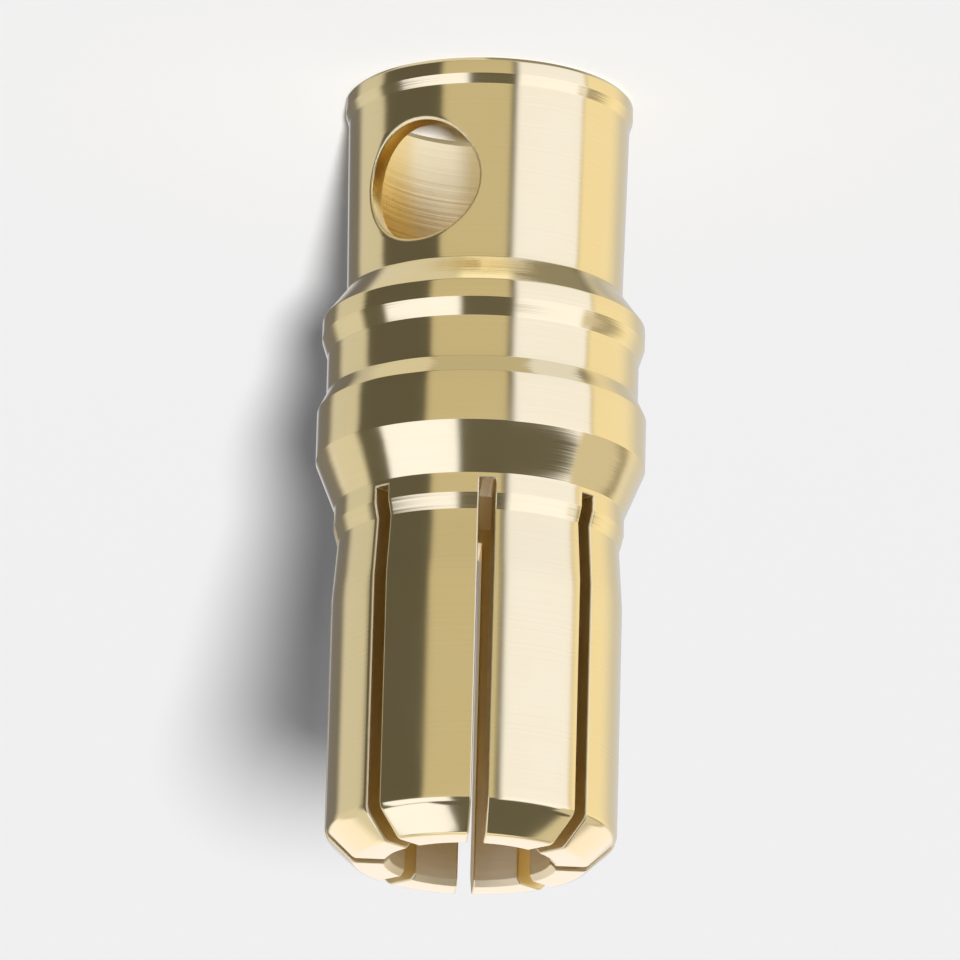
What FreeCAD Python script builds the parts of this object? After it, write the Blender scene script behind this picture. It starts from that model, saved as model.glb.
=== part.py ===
import FreeCAD, Part
import os
import Sketcher

# Male half of a bullet connector for a battery lead. It is one piece, turned from brass bar,
# drilled from both ends, cross-drilled for solder, slotted into springy fingers and gold plated.
# It stands on the rim of its solder cup at z = 0, with its axis on +Z. Millimetres and degrees.
SIZES = {
    # solder cup, from its rim up to the shoulder
    "cup_length": 5.75,
    "rim_diameter": 8.0,
    "rim_lead": 0.12,
    "rim_band_length": 0.48,
    "rim_step_length": 0.28,
    "cup_top_diameter": 7.82,
    "cup_taper": 0.09,
    "cup_wall": 0.61,
    "mouth_bevel": 0.2,
    # solder window in one wall of the cup
    "window_diameter": 3.4,
    "window_height": 3.4,
    "window_angle": 33,
    # collar: shoulder, crown, groove, ring, taper and neck
    "shoulder_length": 0.85,
    "crown_diameter": 8.94,
    "crown_length": 0.5,
    "crown_step_length": 0.5,
    "groove_diameter": 8.62,
    "groove_length": 1.15,
    "ring_step_length": 0.5,
    "ring_diameter": 9.1,
    "ring_length": 1.4,
    "taper_length": 1.35,
    "neck_diameter": 8.0,
    "neck_length": 0.55,
    "root_bevel": 0.45,
    "corner_round": 0.08,
    # slotted pin
    "pin_length": 9.45,
    "pin_diameter": 8.0,
    "pin_root_diameter": 7.76,
    "swell_length": 2.1,
    "tip_bevel_length": 0.75,
    "tip_bevel_round": 0.4,
    "tip_diameter": 6.4,
    "tip_round": 0.25,
    "hollow_bore": 4.4,
    "hollow_mouth_bevel": 0.15,
    "slot_count": 8,
    "slot_width": 0.44,
    "slot_overrun": 0.4,
    # drilled bottoms, and the wall left between the two drillings
    "drill_point_angle": 118,
    "hollow_clearance": 0.4,
    "web_thickness": 1.1,
}

# Lengths that add up to each station along the axis, counted from the rim.
TO_SHOULDER = ["cup_length"]
TO_CROWN = TO_SHOULDER + ["shoulder_length"]
TO_CROWN_STEP = TO_CROWN + ["crown_length"]
TO_GROOVE = TO_CROWN_STEP + ["crown_step_length"]
TO_RING_STEP = TO_GROOVE + ["groove_length"]
TO_RING = TO_RING_STEP + ["ring_step_length"]
TO_TAPER = TO_RING + ["ring_length"]
TO_NECK = TO_TAPER + ["taper_length"]
TO_ROOT = TO_NECK + ["neck_length"]
TO_PIN = TO_ROOT + ["root_bevel"]
TO_TIP = TO_ROOT + ["pin_length"]


def stacked(aliases):
    """Expression for a station's height above the rim."""
    return " + ".join(f"Sizes.{alias}" for alias in aliases)


def half(alias):
    """Expression for the radius that goes with a diameter in the sheet."""
    return f"Sizes.{alias} / 2"


def point_depth(radius):
    """Expression for the depth of the cone that a drill of this radius leaves."""
    return f"({radius}) / tan(Sizes.drill_point_angle / 2 * 1 deg)"


# The cup's taper and its bore both follow its outside below the rim band.
CUP_ROOT_RADIUS = f"{half('cup_top_diameter')} - Sizes.cup_taper"
CUP_BORE_RADIUS = f"{half('cup_top_diameter')} - Sizes.cup_wall"

# The two drillings are worked back from the slots' bottom.
SLOT_BOTTOM = f"{stacked(TO_ROOT)} - Sizes.slot_overrun"
HOLLOW_BOTTOM = f"{SLOT_BOTTOM} - Sizes.hollow_clearance"
HOLLOW_POINT = f"{HOLLOW_BOTTOM} - {point_depth(half('hollow_bore'))}"
CUP_POINT = f"{HOLLOW_POINT} - Sizes.web_thickness"
CUP_BOTTOM = f"{CUP_POINT} - {point_depth(CUP_BORE_RADIUS)}"

# A corner at radius AXIS lies on the centre line, and one at height RIM on the rim's plane.
AXIS = None
RIM = None

doc = FreeCAD.newDocument("BulletConnector")

sheet = doc.addObject("Spreadsheet::Sheet", "Sizes")
for row, (alias, size) in enumerate(SIZES.items(), start=1):
    sheet.set(f"A{row}", alias)
    sheet.set(f"B{row}", str(size))
    sheet.setAlias(f"B{row}", alias)

body = doc.addObject("PartDesign::Body", "BulletPlug")
body.Label = "bullet_plug"
doc.recompute()


def origin_feature(role):
    """The body's own origin plane or axis that has this role."""
    return next(f for f in body.Origin.OriginFeatures if f.Role == role)


def front_sketch(name):
    """A sketch on the front plane: x is a radius and y is a height."""
    sketch = body.newObject("Sketcher::SketchObject", name)
    sketch.AttachmentSupport = (origin_feature("XZ_Plane"), [""])
    sketch.MapMode = "FlatFace"
    return sketch


def bind(sketch, constraint, expression):
    """Adds a dimension to a sketch and ties it to the sheet."""
    index = sketch.addConstraint(constraint)
    sketch.setExpression(f"Constraints[{index}]", expression)


def closed_outline(sketch, corners):
    """Draws straight lines round the corners, then rounds those that name a radius.

    A corner is a radius, a height and, where it is rounded, the round's alias.
    """
    count = len(corners)
    spots = [FreeCAD.Vector(1 + number % 2, number, 0) for number in range(count)]
    for number in range(count):
        line = Part.LineSegment(spots[number], spots[(number + 1) % count])
        sketch.addGeometry(line, False)
    for number, (radius, level, *_) in enumerate(corners):
        if radius is AXIS:
            sketch.addConstraint(Sketcher.Constraint("PointOnObject", number, 1, -2))
        else:
            bind(sketch, Sketcher.Constraint("DistanceX", -1, 1, number, 1, 1.0), radius)
        if level is RIM:
            sketch.addConstraint(Sketcher.Constraint("PointOnObject", number, 1, -1))
        else:
            bind(sketch, Sketcher.Constraint("DistanceY", -1, 1, number, 1, 1.0), level)
    for number in range(count):
        previous = (number - 1) % count
        sketch.addConstraint(Sketcher.Constraint("Coincident", previous, 2, number, 1))
    doc.recompute()
    for number, (_, _, *rounding) in enumerate(corners):
        for alias in rounding:
            arc = sketch.GeometryCount
            sketch.fillet(number, 1, SIZES[alias], True, True)
            bind(sketch, Sketcher.Constraint("Radius", arc, SIZES[alias]), f"Sizes.{alias}")
    doc.recompute()


def turn(kind, name, corners):
    """Turns an outline once round the axis, as a Revolution or as a Groove."""
    sketch = front_sketch(f"{name}Outline")
    closed_outline(sketch, corners)
    feature = body.newObject(f"PartDesign::{kind}", name)
    feature.Profile = sketch
    feature.ReferenceAxis = (sketch, ["V_Axis"])
    feature.Angle = 360
    doc.recompute()
    return feature


def cut_outwards(name, sketch):
    """Cuts a sketch from the axis out through the wall on the sketch's near side."""
    feature = body.newObject("PartDesign::Pocket", name)
    feature.Profile = sketch
    feature.Type = "Length"
    feature.Reversed = True
    feature.setExpression("Length", "Sizes.ring_diameter")
    doc.recompute()
    return feature


# Outside, turned from bar: the cup with its rim band, crown, groove, ring, taper, neck and pin.
turn("Revolution", "Turning", [
    (AXIS, RIM),
    (f"{half('rim_diameter')} - Sizes.rim_lead", RIM),
    (half("rim_diameter"), "Sizes.rim_lead"),
    (half("rim_diameter"), "Sizes.rim_band_length", "corner_round"),
    (half("cup_top_diameter"), "Sizes.rim_band_length + Sizes.rim_step_length", "corner_round"),
    (CUP_ROOT_RADIUS, stacked(TO_SHOULDER), "corner_round"),
    (half("crown_diameter"), stacked(TO_CROWN), "corner_round"),
    (half("crown_diameter"), stacked(TO_CROWN_STEP), "corner_round"),
    (half("groove_diameter"), stacked(TO_GROOVE), "corner_round"),
    (half("groove_diameter"), stacked(TO_RING_STEP), "corner_round"),
    (half("ring_diameter"), stacked(TO_RING), "corner_round"),
    (half("ring_diameter"), stacked(TO_TAPER), "corner_round"),
    (half("neck_diameter"), stacked(TO_NECK), "corner_round"),
    (half("neck_diameter"), stacked(TO_ROOT), "corner_round"),
    (half("pin_root_diameter"), stacked(TO_PIN), "corner_round"),
    (half("pin_diameter"), f"{stacked(TO_ROOT)} + Sizes.swell_length"),
    (half("pin_diameter"), f"{stacked(TO_TIP)} - Sizes.tip_bevel_length", "tip_bevel_round"),
    (half("tip_diameter"), stacked(TO_TIP), "tip_round"),
    (AXIS, stacked(TO_TIP)),
])

# Solder cup, drilled from the rim, with a bevelled mouth.
turn("Groove", "SolderCup", [
    (AXIS, RIM),
    (f"{CUP_BORE_RADIUS} + Sizes.mouth_bevel", RIM),
    (CUP_BORE_RADIUS, "Sizes.mouth_bevel"),
    (CUP_BORE_RADIUS, CUP_BOTTOM),
    (AXIS, CUP_POINT),
])

# Hollow of the pin, drilled from the tip, with a bevelled mouth.
turn("Groove", "PinHollow", [
    (AXIS, HOLLOW_POINT),
    (half("hollow_bore"), HOLLOW_BOTTOM),
    (half("hollow_bore"), f"{stacked(TO_TIP)} - Sizes.hollow_mouth_bevel"),
    (f"{half('hollow_bore')} + Sizes.hollow_mouth_bevel", stacked(TO_TIP)),
    (AXIS, stacked(TO_TIP)),
])

# Solder window, drilled square to the axis through one wall of the cup.
window = front_sketch("WindowOutline")
window.AttachmentOffset = FreeCAD.Placement(
    FreeCAD.Vector(0, 0, 0), FreeCAD.Rotation(FreeCAD.Vector(0, 1, 0), SIZES["window_angle"]))
window.setExpression(".AttachmentOffset.Rotation.Angle", "Sizes.window_angle")
window.addGeometry(Part.Circle(FreeCAD.Vector(0, 1, 0), FreeCAD.Vector(0, 0, 1), 1), False)
window.addConstraint(Sketcher.Constraint("PointOnObject", 0, 3, -2))
bind(window, Sketcher.Constraint("DistanceY", -1, 1, 0, 3, 1.0), "Sizes.window_height")
bind(window, Sketcher.Constraint("Diameter", 0, 2.0), "Sizes.window_diameter")
doc.recompute()
cut_outwards("SolderWindow", window)

# Slots of the pin, sawn from the tip down into the neck.
slot = front_sketch("SlotOutline")
closed_outline(slot, [
    ("-Sizes.slot_width / 2", SLOT_BOTTOM),
    ("Sizes.slot_width / 2", SLOT_BOTTOM),
    ("Sizes.slot_width / 2", f"{stacked(TO_TIP)} + Sizes.slot_width"),
    ("-Sizes.slot_width / 2", f"{stacked(TO_TIP)} + Sizes.slot_width"),
])
first_slot = cut_outwards("FirstSlot", slot)
slots = body.newObject("PartDesign::PolarPattern", "Slots")
slots.Originals = [first_slot]
slots.Axis = (origin_feature("Z_Axis"), [""])
slots.Angle = 360
slots.setExpression("Occurrences", "Sizes.slot_count")
body.Tip = slots
doc.recompute()

# Every feature is sound, and every cut has taken metal away.
volume = float("inf")
for feature in body.Group:
    if "Invalid" in feature.State or "Error" in feature.State:
        raise RuntimeError(f"{feature.Label} failed: {feature.State}")
    if feature.isDerivedFrom("Sketcher::SketchObject"):
        continue
    if not feature.Shape.isValid() or not feature.Shape.Volume < volume:
        raise RuntimeError(f"{feature.Label} is unsound or takes no metal away")
    volume = feature.Shape.Volume
    print(f"{feature.Label}: {volume:.3f} mm3")
if body.Shape.isNull() or not body.Shape.isValid() or len(body.Shape.Solids) != 1:
    raise RuntimeError("the plug is not one sound solid")

os.makedirs("parts", exist_ok=True)
body.Shape.exportStep(f"parts/{body.Label}.step")
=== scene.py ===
import math

import bmesh
import bpy
import numpy as np
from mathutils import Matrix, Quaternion, Vector


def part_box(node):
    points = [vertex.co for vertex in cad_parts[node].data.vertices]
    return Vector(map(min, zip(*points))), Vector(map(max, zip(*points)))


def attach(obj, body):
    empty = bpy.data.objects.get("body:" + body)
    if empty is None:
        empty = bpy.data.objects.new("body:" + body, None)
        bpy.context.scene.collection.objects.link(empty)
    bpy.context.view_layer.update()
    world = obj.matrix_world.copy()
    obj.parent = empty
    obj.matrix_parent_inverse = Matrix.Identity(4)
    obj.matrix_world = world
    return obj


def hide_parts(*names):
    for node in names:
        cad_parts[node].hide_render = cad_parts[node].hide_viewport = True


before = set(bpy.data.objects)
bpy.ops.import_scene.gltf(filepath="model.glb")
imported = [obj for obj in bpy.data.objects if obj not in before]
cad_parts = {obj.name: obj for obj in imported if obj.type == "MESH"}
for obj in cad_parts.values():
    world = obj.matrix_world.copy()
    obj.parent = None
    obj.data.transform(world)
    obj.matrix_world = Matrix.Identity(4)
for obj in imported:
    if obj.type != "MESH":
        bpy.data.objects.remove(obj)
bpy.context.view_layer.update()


# The plug's section, as it is turned from brass bar and drilled from both ends.
# It runs from the bottom of the solder cup, round the rim, up the outside, over
# the tip and down into the hollow of the pin. Sizes are in millimetres.
MM = 0.001
node_low, node_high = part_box("bullet_plug")
top = node_high.z / MM
ring_radius = node_high.x / MM

cup_bore_radius = 3.3
mouth_bevel = 0.2
rim_radius, rim_lead = 4.0, 0.12
band_end, band_step = 0.48, 0.28
cup_top_radius, cup_root_radius = 3.91, 3.82
shoulder = 5.75
crown_radius, crown_start, crown_end = 4.47, 6.6, 7.1
groove_radius, groove_start, groove_end = 4.31, 7.6, 8.75
ring_start, ring_end = 9.25, 10.65
neck_radius, neck_start, neck_end = 4.0, 12.0, 12.55
pin_root_radius, root_bevel = 3.88, 0.45
pin_radius, swell = 4.0, 2.1
tip_bevel, tip_radius = 0.75, 3.2
hollow_radius, hollow_bevel = 2.2, 0.15
drill_point_angle = 118
drill_slope = math.tan(math.radians(drill_point_angle / 2))
slot_half_width, slot_overrun = 0.22, 0.4
hollow_clearance, web_thickness = 0.4, 1.1
slot_floor = neck_end - slot_overrun
hollow_bottom = slot_floor - hollow_clearance
hollow_point = hollow_bottom - hollow_radius / drill_slope
cup_point = hollow_point - web_thickness
cup_bottom = cup_point - cup_bore_radius / drill_slope

edge_round, corner_round, drill_corner_round = 0.05, 0.08, 0.12
tip_bevel_round, tip_round = 0.4, 0.25
row_step, step_slack = 0.35, 0.01
slot_row = slot_floor - edge_round
window_low, window_high = 0.95, 5.4


def cup_radius(height):
    """Outside radius of the tapered cup at a height."""
    share = (height - band_end - band_step) / (shoulder - band_end - band_step)
    return cup_top_radius + (cup_root_radius - cup_top_radius) * share


# Each corner is a radius, a height, the radius of its rounding and a name where a row is looked up.
corners = [
    (0, cup_point, 0, None),
    (cup_bore_radius, cup_bottom, drill_corner_round, None),
    (cup_bore_radius, window_high, 0, "window_high_inside"),
    (cup_bore_radius, window_low, 0, "window_low_inside"),
    (cup_bore_radius, mouth_bevel, edge_round, None),
    (cup_bore_radius + mouth_bevel, 0, edge_round, "mouth"),
    (rim_radius - rim_lead, 0, edge_round, None),
    (rim_radius, rim_lead, edge_round, None),
    (rim_radius, band_end, corner_round, None),
    (cup_top_radius, band_end + band_step, corner_round, None),
    (cup_radius(window_low), window_low, 0, "window_low"),
    (cup_radius(window_high), window_high, 0, "window_high"),
    (cup_root_radius, shoulder, corner_round, None),
    (crown_radius, crown_start, corner_round, None),
    (crown_radius, crown_end, corner_round, None),
    (groove_radius, groove_start, corner_round, None),
    (groove_radius, groove_end, corner_round, None),
    (ring_radius, ring_start, corner_round, None),
    (ring_radius, ring_end, corner_round, None),
    (neck_radius, neck_start, corner_round, None),
    (neck_radius, slot_row, 0, "slot_outside"),
    (neck_radius, neck_end, corner_round, None),
    (pin_root_radius, neck_end + root_bevel, corner_round, None),
    (pin_radius, neck_end + swell, 0, None),
    (pin_radius, top - tip_bevel, tip_bevel_round, None),
    (tip_radius, top, tip_round, None),
    (hollow_radius + hollow_bevel, top, edge_round, "tip_edge"),
    (hollow_radius, top - hollow_bevel, edge_round, None),
    (hollow_radius, slot_row, 0, "slot_inside"),
    (hollow_radius, hollow_bottom, drill_corner_round, None),
    (0, hollow_point, 0, None),
]


degrees_per_facet = 8
least_turn = 0.01


def corner_arc(before, corner, after, radius):
    """Points of the arc that rounds a corner, or the corner itself where it isn't rounded."""
    arriving = (corner - before) / np.linalg.norm(corner - before)
    leaving = (after - corner) / np.linalg.norm(after - corner)
    turn = math.atan2(arriving[0] * leaving[1] - arriving[1] * leaving[0], arriving @ leaving)
    if radius == 0 or abs(turn) < least_turn:
        return [corner]
    reach = radius * math.tan(abs(turn) / 2)
    side = math.copysign(1, turn)
    normal = np.array([-arriving[1], arriving[0]]) * side
    start = corner - arriving * reach
    centre = start + normal * radius
    steps = max(3, round(abs(turn) / math.radians(degrees_per_facet)))
    spoke = start - centre
    return [
        centre + np.array([spoke[0] * math.cos(a) - spoke[1] * math.sin(a),
                           spoke[0] * math.sin(a) + spoke[1] * math.cos(a)])
        for a in np.linspace(0, turn, steps + 1)
    ]


section = []
named_row = {}
for number, (radius, height, rounding, name) in enumerate(corners):
    corner = np.array([radius, height], float)
    if number in (0, len(corners) - 1):
        arc = [corner]
    else:
        before = np.array(corners[number - 1][:2], float)
        after = np.array(corners[number + 1][:2], float)
        arc = corner_arc(before, corner, after, rounding)
    if section:
        run = arc[0] - section[-1]
        steps = max(1, math.ceil(np.abs(run).max() / row_step - step_slack))
        section += [section[-1] + run * step / steps for step in range(1, steps)]
    if name:
        named_row[name] = len(section)
    section += arc
section = np.array(section)
row_count = len(section)

# The metal lies to the left of the section's way round, so that is each row's inward direction.
ways = np.gradient(section, axis=0)
ways /= np.linalg.norm(ways, axis=1)[:, None]
inward = np.stack([-ways[:, 1], ways[:, 0]], axis=1)


# The blank: the section turned once round the axis. Its columns of vertices follow the
# edges of the eight slots, and gaps are left where the slots and the window are cut.
slot_count = 8
floor_cells = 4
finger_cells = 28
sector_cells = floor_cells + finger_cells
column_count = slot_count * sector_cells
slot_reach = slot_half_width + edge_round


def column_angles(radius):
    """Angle of every column from -Y towards +X. Inside the hollow's radius no slot is cut and they stay."""
    reach_per_radius = slot_reach / max(radius, hollow_radius)
    edge = math.asin(reach_per_radius)
    pitch = math.tau / slot_count
    across = [math.asin(reach_per_radius * (2 * cell / floor_cells - 1)) for cell in range(floor_cells)]
    along = [edge + (pitch - 2 * edge) * cell / finger_cells for cell in range(finger_cells)]
    return np.concatenate([np.array(across + along) + pitch * sector for sector in range(slot_count)])


def turned_point(radius, angle, height):
    """A point at a radius and an angle round the axis, in millimetres."""
    return (radius * math.sin(angle), -radius * math.cos(angle), height)


points = []
grid = np.zeros((row_count, column_count), int)
angles = np.zeros((row_count, column_count))
for row, (radius, height) in enumerate(section):
    angles[row] = column_angles(radius)
    if radius == 0:
        grid[row] = len(points)
        points.append(turned_point(0, 0, height))
        continue
    grid[row] = np.arange(column_count) + len(points)
    points += [turned_point(radius, angle, height) for angle in angles[row]]

TURNED, DRILLED, DEEP_DRILLED, SAWN = range(4)


def finish_of(row):
    """Which tool left the surface above this row of the section."""
    if row < named_row["mouth"]:
        return DRILLED
    return TURNED if row < named_row["tip_edge"] else DEEP_DRILLED


faces = []
finishes = []
flat = []


def add_face(corners_of_face, finish, is_flat=False):
    """Notes a face, without the corners that fall together at the axis."""
    faces.append([v for n, v in enumerate(corners_of_face) if v != corners_of_face[n - 1]])
    finishes.append(finish)
    flat.append(is_flat)


def strip(first_ring, second_ring, finish, closed=True):
    """Joins two rows of as many vertices with a strip of faces."""
    count = len(first_ring)
    for n in range(count if closed else count - 1):
        m = (n + 1) % count
        add_face([first_ring[n], first_ring[m], second_ring[m], second_ring[n]], finish)


window_angle = math.radians(33)
gap_half_angle = math.radians(33)
in_gap = np.abs(angles[0] - window_angle) < gap_half_angle
window_left, window_right = np.flatnonzero(in_gap)[[0, -1]]
window_rows = [(named_row["window_low"], named_row["window_high"]),
               (named_row["window_high_inside"], named_row["window_low_inside"])]


def is_cut(row, column):
    """True for a cell of the blank that a slot or the window's patch takes the place of."""
    in_slot = column % sector_cells < floor_cells
    if in_slot and named_row["slot_outside"] <= row < named_row["slot_inside"]:
        return True
    if not window_left <= column < window_right:
        return False
    return any(low <= row < high for low, high in window_rows)


for row in range(row_count - 1):
    for column in range(column_count):
        if not is_cut(row, column):
            after = (column + 1) % column_count
            add_face([grid[row, column], grid[row, after], grid[row + 1, after], grid[row + 1, column]],
                     finish_of(row))


# The slots, sawn from the tip into the neck with a slitting saw, with their edges
# tumbled round. Each is a closed ring of the blank's vertices, rolled over the edge
# into two flat walls and a flat floor.
roll_steps = 4
first_row, last_row = named_row["slot_outside"], named_row["slot_inside"]
for sector in range(slot_count):
    left = sector * sector_cells
    right = left + floor_cells
    side_rows = list(range(first_row, last_row + 1))
    floor_columns = list(range(left + 1, right))
    ring = [(row, left) for row in side_rows]
    ring += [(last_row, column) for column in floor_columns]
    ring += [(row, right) for row in reversed(side_rows)]
    ring += [(first_row, column) for column in reversed(floor_columns)]
    middle = math.tau / slot_count * sector
    edge = [grid[row, column] for row, column in ring]
    for step in range(1, roll_steps + 1):
        roll = math.pi / 2 * step / roll_steps
        sunk = edge_round * (1 - math.cos(roll))
        drawn_in = edge_round * math.sin(roll)
        rolled = []
        for row, column in ring:
            at_floor = row in (first_row, last_row)
            depth = np.array([-1.0 if row == first_row else 1.0, 0.0]) if at_floor else inward[row]
            radius, height = section[row] + depth * sunk
            height += drawn_in if at_floor else 0
            share = 2 * (column - left) / floor_cells - 1
            sideways = share * (slot_reach - drawn_in)
            rolled.append(len(points))
            points.append(turned_point(radius, middle + math.asin(sideways / radius), height))
        strip(edge, rolled, SAWN)
        edge = rolled
    count = len(side_rows)
    near_wall = edge[:count]
    inner_floor = edge[count - 1:count + floor_cells]
    far_wall = edge[count + floor_cells - 1:2 * count + floor_cells - 1]
    outer_floor = [edge[0]] + edge[:-floor_cells:-1] + [far_wall[-1]]
    add_face(near_wall, SAWN, is_flat=True)
    add_face(far_wall, SAWN, is_flat=True)
    strip(outer_floor, inner_floor, SAWN, closed=False)


# The solder window, drilled square to the axis through one wall of the cup, with its
# edges tumbled round. Rings of vertices lead from the gap in the blank's grid to the
# edge of the hole, over it and through the wall.
window_radius = 1.7
window_height = 3.4
window_round = 0.1
patch_rings, patch_spread = 7, 0.8
window_way = np.array([math.sin(window_angle), -math.cos(window_angle)])
window_side = np.array([math.cos(window_angle), math.sin(window_angle)])


def window_point(across, height, wall_radius, sunk=0.0):
    """A point of the cup's wall, placed across the window, at a height and sunk below the surface."""
    out = math.sqrt(wall_radius ** 2 - across ** 2) - sunk
    x, y = window_way * out + window_side * across
    return (x, y, height)


def patch_border(rows):
    """The row and column of each vertex round the gap that the window's patch fills."""
    low, high = rows
    border = [(low, column) for column in range(window_left, window_right)]
    border += [(row, window_right) for row in range(low, high)]
    border += [(high, column) for column in range(window_right, window_left, -1)]
    border += [(row, window_left) for row in range(high, low, -1)]
    return border


def window_rings(rows, wall_radius, way_in, finish):
    """Lays rings of vertices from the patch's border over the hole's edge, and returns the last."""
    border = patch_border(rows)
    ring = [grid[row, column] for row, column in border]
    outer = [(section[row][0] * math.sin(angles[row, column] - window_angle), section[row][1])
             for row, column in border]
    turns = [math.atan2(height - window_height, across) for across, height in outer]
    reach = window_radius + window_round
    for step in range(1, patch_rings + 1):
        share = (step / patch_rings) ** patch_spread
        following = []
        for (across, height), turn in zip(outer, turns):
            a = across + (reach * math.cos(turn) - across) * share
            h = height + (window_height + reach * math.sin(turn) - height) * share
            following.append(len(points))
            points.append(window_point(a, h, wall_radius(h)))
        strip(ring, following, finish)
        ring = following
    for step in range(1, roll_steps + 1):
        roll = math.pi / 2 * step / roll_steps
        reach = window_radius + window_round * (1 - math.sin(roll))
        sunk = window_round * (1 - math.cos(roll)) * way_in
        following = []
        for turn in turns:
            h = window_height + reach * math.sin(turn)
            following.append(len(points))
            points.append(window_point(reach * math.cos(turn), h, wall_radius(h), sunk))
        strip(ring, following, DRILLED)
        ring = following
    return ring


def same_way_round(ring, other):
    """The other ring, reversed and shifted so that its vertices face those of the first."""
    here = Vector(points[ring[0]])
    reversed_ring = other[::-1]
    start = min(range(len(other)), key=lambda n: (Vector(points[reversed_ring[n]]) - here).length)
    return reversed_ring[start:] + reversed_ring[:start]


outside_ring = window_rings(window_rows[0], cup_radius, 1, TURNED)
inside_ring = window_rings(window_rows[1], lambda height: cup_bore_radius, -1, DRILLED)
strip(outside_ring, same_way_round(outside_ring, inside_ring), DRILLED)

mesh = bpy.data.meshes.new("bullet_plug_turned")
mesh.from_pydata([Vector(point) * MM for point in points], [], faces)
work = bmesh.new()
work.from_mesh(mesh)
work.faces.ensure_lookup_table()
for face, finish, is_flat in zip(work.faces, finishes, flat):
    face.material_index = finish
    face.smooth = not is_flat
bmesh.ops.delete(work, geom=[v for v in work.verts if not v.link_faces], context="VERTS")
bmesh.ops.recalc_face_normals(work, faces=work.faces)
work.to_mesh(mesh)
work.free()
plug = bpy.data.objects.new("bullet_plug_turned", mesh)
bpy.context.scene.collection.objects.link(plug)
weighted = plug.modifiers.new("even shading", "WEIGHTED_NORMAL")
weighted.mode = "FACE_AREA"
weighted.keep_sharp = True
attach(plug, "root")
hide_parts("bullet_plug")


# The finish: bright gold plate, a few microns thick, over turned brass. The plate follows every
# mark of the tool under it, so each kind of cut mirrors the room in its own way. Handling
# leaves faint streaks along the plug and cloudy patches.
def linear(hex_colour):
    """An sRGB hex value as the linear colour that a shader takes."""
    channels = [int(hex_colour[n:n + 2], 16) / 255 for n in (0, 2, 4)]
    return [c / 12.92 if c <= 0.04045 else ((c + 0.055) / 1.055) ** 2.4 for c in channels] + [1]


def add_node(tree, kind, settings, inputs):
    """Adds a node with its settings, and links or sets its inputs."""
    node = tree.nodes.new(kind)
    for name, setting in settings.items():
        setattr(node, name, setting)
    for socket, source in inputs.items():
        if isinstance(source, bpy.types.NodeSocket):
            tree.links.new(source, node.inputs[socket])
        else:
            node.inputs[socket].default_value = source
    return node


streaks_per_mm, streak_stretch, streak_share = 5, 20, 0.25
patches_per_mm = 0.4
mark_share_of_colour = 0.4


def gold_plate(name, pale_hex, deep_hex, marks_per_mm, mark_depth, smoothest, roughest):
    """Gold plate over tool marks that run round the axis, with streaks and cloudy patches."""
    material = bpy.data.materials.new(name)
    material.use_nodes = True
    tree = material.node_tree
    tree.nodes.clear()
    place = add_node(tree, "ShaderNodeTexCoord", {}, {}).outputs["Object"]
    upward = add_node(tree, "ShaderNodeSeparateXYZ", {}, {0: place}).outputs["Z"]
    outward = add_node(tree, "ShaderNodeVectorMath", {"operation": "MULTIPLY"}, {0: place, 1: (1, 1, 0)})
    radius = add_node(tree, "ShaderNodeVectorMath", {"operation": "LENGTH"}, {0: outward.outputs["Vector"]})
    feed = add_node(tree, "ShaderNodeMath", {"operation": "ADD"}, {0: upward, 1: radius.outputs["Value"]})
    marks = add_node(tree, "ShaderNodeTexNoise", {"noise_dimensions": "1D"}, {
        "W": feed.outputs[0], "Scale": marks_per_mm / MM, "Detail": 2.0})
    drawn_out = add_node(tree, "ShaderNodeVectorMath", {"operation": "MULTIPLY"}, {
        0: place, 1: (1, 1, 1 / streak_stretch)})
    streaks = add_node(tree, "ShaderNodeTexNoise", {}, {
        "Vector": drawn_out.outputs["Vector"], "Scale": streaks_per_mm / MM, "Detail": 2.0})
    patches = add_node(tree, "ShaderNodeTexNoise", {}, {
        "Vector": place, "Scale": patches_per_mm / MM, "Detail": 4.0})
    relief = add_node(tree, "ShaderNodeMath", {"operation": "MULTIPLY_ADD"}, {
        0: streaks.outputs["Fac"], 1: streak_share, 2: marks.outputs["Fac"]})
    bump = add_node(tree, "ShaderNodeBump", {}, {"Height": relief.outputs[0], "Distance": mark_depth * MM})
    roughness = add_node(tree, "ShaderNodeMapRange", {}, {
        "Value": patches.outputs["Fac"], "From Min": 0.3, "From Max": 0.7,
        "To Min": smoothest, "To Max": roughest})
    paleness = add_node(tree, "ShaderNodeMix", {"data_type": "FLOAT"}, {
        "Factor": mark_share_of_colour, "A": patches.outputs["Fac"], "B": marks.outputs["Fac"]})
    colour = add_node(tree, "ShaderNodeMix", {"data_type": "RGBA"}, {
        "Factor": paleness.outputs["Result"], "A": linear(deep_hex), "B": linear(pale_hex)})
    shader = add_node(tree, "ShaderNodeBsdfPrincipled", {}, {
        "Base Color": colour.outputs["Result"], "Metallic": 1.0,
        "Roughness": roughness.outputs["Result"], "Normal": bump.outputs["Normal"]})
    add_node(tree, "ShaderNodeOutputMaterial", {}, {"Surface": shader.outputs["BSDF"]})
    return material


# The lathe's feed of 0.07 mm leaves a near mirror, in which the soft boxes have firm edges.
mesh.materials.append(gold_plate("gold plate, turned", "FBE6AC", "F5DC9A", 14, 0.0015, 0.09, 0.15))
# The drill's marks, 0.14 mm apart, give the cup a silky, deeper yellow wall.
mesh.materials.append(gold_plate("gold plate, drilled", "FFE9AA", "F8DA8E", 7, 0.005, 0.26, 0.36))
# Plate is duller deep in a narrow hole, so the hollow of the pin looks soft. Its paler colours are painted
# light, lifting the shade inside the hollow.
mesh.materials.append(gold_plate("gold plate, deep drilled, paler for painted light", "FFEFC2", "F8E2A8", 7, 0.004, 0.58, 0.7))
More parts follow.
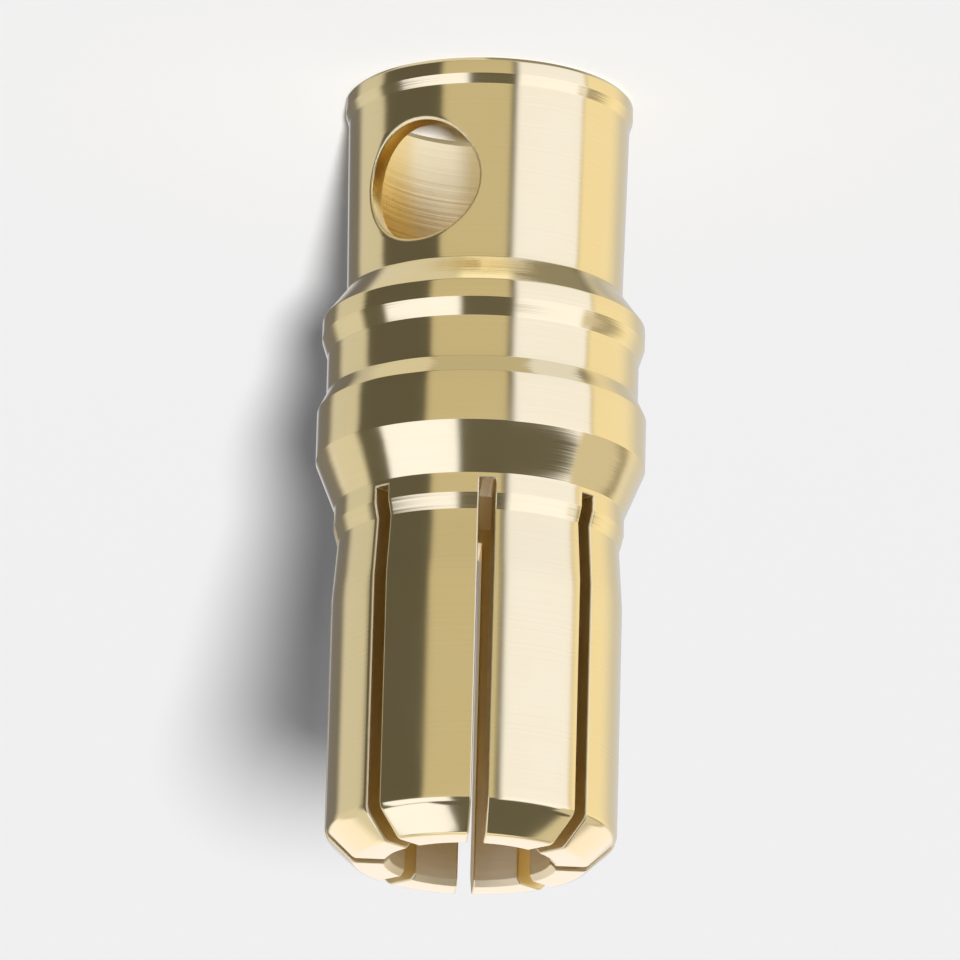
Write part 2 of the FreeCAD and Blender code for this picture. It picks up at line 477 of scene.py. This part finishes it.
# The saw leaves lines 0.11 mm apart in the slots, which are satin and deep gold. Their paler colours are
# painted light, lifting the shade in the narrow slots.
mesh.materials.append(gold_plate("gold plate, sawn, paler for painted light", "FFEEBC", "F8DE98", 9, 0.002, 0.36, 0.46))


# The floor: one sheet of pale paper that the plug stands on, far wider than the view.
half_paper = 1.0
paper = bpy.data.meshes.new("paper")
paper.from_pydata([(-half_paper, -half_paper, 0), (half_paper, -half_paper, 0),
                   (half_paper, half_paper, 0), (-half_paper, half_paper, 0)], [], [(0, 1, 2, 3)])
floor = bpy.data.objects.new("paper", paper)
bpy.context.scene.collection.objects.link(floor)
floor_material = bpy.data.materials.new("matt white paper")
floor_material.use_nodes = True
tree = floor_material.node_tree
tree.nodes.clear()
shader = add_node(tree, "ShaderNodeBsdfPrincipled", {}, {
    "Base Color": linear("F8F8F8"), "Roughness": 0.9, "Specular IOR Level": 0.0})
add_node(tree, "ShaderNodeOutputMaterial", {}, {"Surface": shader.outputs["BSDF"]})
paper.materials.append(floor_material)
floor.visible_glossy = False


# The studio round the plug, as the polished plate mirrors it: soft boxes in a dim room.
# Each is a patch of the sky between two bearings and two elevations, in degrees. A bearing
# is 0 in front of the plug (-Y) and grows towards -X. All of it is a little dimmer low down,
# and the floor doesn't hide what is below. Matt surfaces get a plain fill light instead.
world = bpy.data.worlds.new("studio")
bpy.context.scene.world = world
world.use_nodes = True
tree = world.node_tree
tree.nodes.clear()
way = add_node(tree, "ShaderNodeTexCoord", {}, {})
split = add_node(tree, "ShaderNodeSeparateXYZ", {}, {0: way.outputs["Generated"]})
minus_x = add_node(tree, "ShaderNodeMath", {"operation": "MULTIPLY"}, {0: split.outputs["X"], 1: -1.0})
minus_y = add_node(tree, "ShaderNodeMath", {"operation": "MULTIPLY"}, {0: split.outputs["Y"], 1: -1.0})
bearing = add_node(tree, "ShaderNodeMath", {"operation": "ARCTAN2"}, {
    0: minus_x.outputs[0], 1: minus_y.outputs[0]})
elevation = add_node(tree, "ShaderNodeMath", {"operation": "ARCSINE"}, {0: split.outputs["Z"]})


def ramp(source, start, end):
    """A smooth step from 0 to 1 between two angles in degrees."""
    node = add_node(tree, "ShaderNodeMapRange", {"interpolation_type": "SMOOTHSTEP"}, {
        "Value": source, "From Min": math.radians(start), "From Max": math.radians(end)})
    return node.outputs["Result"]


def soft_box(bearings, elevations, softness, light, behind):
    """Lays a soft box over the studio so far and returns the colour of both."""
    edges = [
        ramp(bearing.outputs[0], bearings[0] - softness, bearings[0] + softness),
        ramp(bearing.outputs[0], bearings[1] + softness, bearings[1] - softness),
        ramp(elevation.outputs[0], elevations[0] - softness, elevations[0] + softness),
        ramp(elevation.outputs[0], elevations[1] + softness, elevations[1] - softness),
    ]
    mask = edges[0]
    for edge_of_box in edges[1:]:
        both = add_node(tree, "ShaderNodeMath", {"operation": "MULTIPLY"}, {0: mask, 1: edge_of_box})
        mask = both.outputs[0]
    mix = add_node(tree, "ShaderNodeMix", {"data_type": "RGBA"}, {"Factor": mask, "A": behind, "B": light})
    return mix.outputs["Result"]


dim_room = [0.12, 0.12, 0.12, 1]
daylight = [1.0, 1.12, 1.8, 1]
grey_screen = [0.62, 0.61, 0.64, 1]
back_light = [0.98, 1.0, 1.3, 1]
wall = [0.66, 0.68, 0.77, 1]
ceiling = [0.95, 0.95, 1.0, 1]
studio = add_node(tree, "ShaderNodeRGB", {}, {}).outputs[0]
studio.default_value = dim_room
for bearings, elevations, softness, light in (
    ((-220, -99), (-52, 60), 4, wall),  # wall on the +X side and behind
    ((-168, -134), (-46, 5), 6, [0.2, 0.2, 0.23, 1]),  # dark gap low in that wall
    ((-42, 15), (-48, 7), 3, [0.61, 0.59, 0.55, 1]),  # beige screen in front
    ((19, 80), (-50, 18), 3, daylight),  # tall window in front, on the -X side
    ((80, 145), (-48, 3), 4, [0.96, 0.92, 0.88, 1]),  # warm panel beside the window
    ((128, 220), (-48, 60), 14, wall),  # wall on the -X side, fading in over the warm panel
    ((72, 122), (6, 34), 3, grey_screen),  # screen above the warm panel
    ((102, 122), (34, 62), 3, grey_screen),  # screen above that one
    ((-78, -20), (7, 41), 3, daylight),  # high window in front, on the +X side
    ((-114, -44), (44, 80), 3, daylight),  # roof light on the +X side
    ((125, 220), (4, 44), 5, back_light),  # light behind, as far as straight back
    ((-220, -130), (4, 44), 5, back_light),  # the rest of the light behind
    ((-220, -122), (62, 95), 5, ceiling),  # ceiling behind, on the +X side
    ((122, 220), (62, 95), 5, ceiling),  # ceiling behind, on the -X side
    ((-220, -60), (-80, -46), 3, [0.84, 0.86, 0.95, 1]),  # bounce off the ground on the +X side
    ((-60, 50), (-80, -52), 3, [0.64, 0.63, 0.62, 1]),  # duller ground in front
    ((50, 100), (-80, -48), 3, [0.95, 1.04, 1.5, 1]),  # ground lit by the tall window
    ((100, 220), (-80, -52), 3, [0.34, 0.34, 0.34, 1]),  # ground in shade
    ((-220, 220), (-95, -80), 3, [1.3, 1.32, 1.4, 1]),  # straight below, up into the solder cup
):
    studio = soft_box(bearings, elevations, softness, light, studio)
low_share, high_share = 0.85, 1.1
falloff = add_node(tree, "ShaderNodeMapRange", {}, {
    "Value": elevation.outputs[0], "From Min": math.radians(-45), "From Max": math.radians(5),
    "To Min": low_share, "To Max": high_share})
studio = add_node(tree, "ShaderNodeVectorMath", {"operation": "SCALE"}, {
    0: studio, "Scale": falloff.outputs["Result"]}).outputs["Vector"]
rays = add_node(tree, "ShaderNodeLightPath", {}, {})
fill_light = [0.17, 0.17, 0.175, 1]
seen = add_node(tree, "ShaderNodeMix", {"data_type": "RGBA"}, {
    "Factor": rays.outputs["Is Camera Ray"], "A": fill_light, "B": linear("EEEEF0")})
mirrored = add_node(tree, "ShaderNodeMix", {"data_type": "RGBA"}, {
    "Factor": rays.outputs["Is Glossy Ray"], "A": seen.outputs["Result"], "B": studio})
background = add_node(tree, "ShaderNodeBackground", {}, {"Color": mirrored.outputs["Result"]})
add_node(tree, "ShaderNodeOutputWorld", {}, {"Surface": background.outputs[0]})


# The lamp that throws the plug's shadow on the paper. It shines from beside the camera,
# so the shadow runs away behind the plug and shows along its left side.
lamp = bpy.data.lights.new("window light", "SUN")
lamp.energy = 8.05
lamp.angle = math.radians(4.5)
sun = bpy.data.objects.new("window light", lamp)
bpy.context.scene.collection.objects.link(sun)
lamp_bearing, lamp_elevation = math.radians(0.6), math.radians(17.2)
lamp_way = Vector((-math.sin(lamp_bearing) * math.cos(lamp_elevation),
                   -math.cos(lamp_bearing) * math.cos(lamp_elevation), math.sin(lamp_elevation)))
sun.rotation_euler = lamp_way.to_track_quat("Z", "Y").to_euler()
sun.visible_glossy = False


# The camera looks a little down on the tip from in front, as the photograph does, and is
# turned over so that the solder cup is at the top of the picture.
view_bearing, view_elevation = math.radians(-3), math.radians(17)
picture_lean = math.radians(1.5)
picture_height = 26.5 * MM
distance = 0.3
camera_data = bpy.data.cameras.new("camera")
camera_data.sensor_width = 36
camera_data.lens = camera_data.sensor_width * distance / picture_height
camera_data.clip_start, camera_data.clip_end = 0.01, 10
camera = bpy.data.objects.new("camera", camera_data)
bpy.context.scene.collection.objects.link(camera)
back = Vector((-math.sin(view_bearing) * math.cos(view_elevation),
               -math.cos(view_bearing) * math.cos(view_elevation), math.sin(view_elevation)))
camera.location = Vector((0, 0, top / 2 * MM)) + back * distance
camera.rotation_mode = "QUATERNION"
camera.rotation_quaternion = Quaternion(back, math.pi + picture_lean) @ back.to_track_quat("Z", "Y")
bpy.context.scene.camera = camera
bpy.context.scene.view_settings.view_transform = "Standard"
